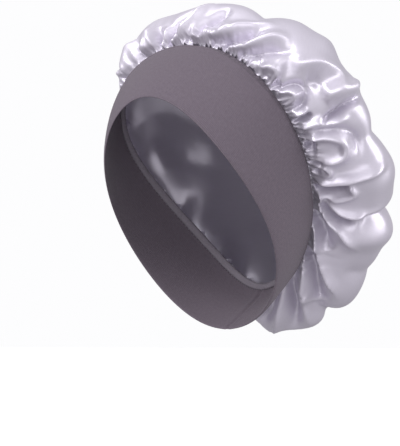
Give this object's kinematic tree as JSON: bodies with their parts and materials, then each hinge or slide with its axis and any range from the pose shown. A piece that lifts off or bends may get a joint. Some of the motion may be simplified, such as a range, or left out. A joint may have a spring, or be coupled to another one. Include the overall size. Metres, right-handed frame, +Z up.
{
  "type": "satin bonnet",
  "caption": "Sleep bonnet with a wide jersey band and a full satin crown gathered to it, in its worn form.",
  "frame": {"origin": "centre of the band's folded edge, where the head goes in", "axes": "+Z up, the wearer's face looks along -Y, the wearer's left is +X, millimetres in the source and metres here"},
  "size_m": [0.2672, 0.2375, 0.2842],
  "materials": {
    "jersey": "matte knitted jersey, doubled",
    "satin": "glossy polyester satin",
    "overlocked_edge": "raw satin and jersey edges under overlock thread"
  },
  "bodies": {
    "root": {"band": "jersey", "crown": "satin", "seam_allowance": "overlocked_edge"}
  },
  "joints": []
}
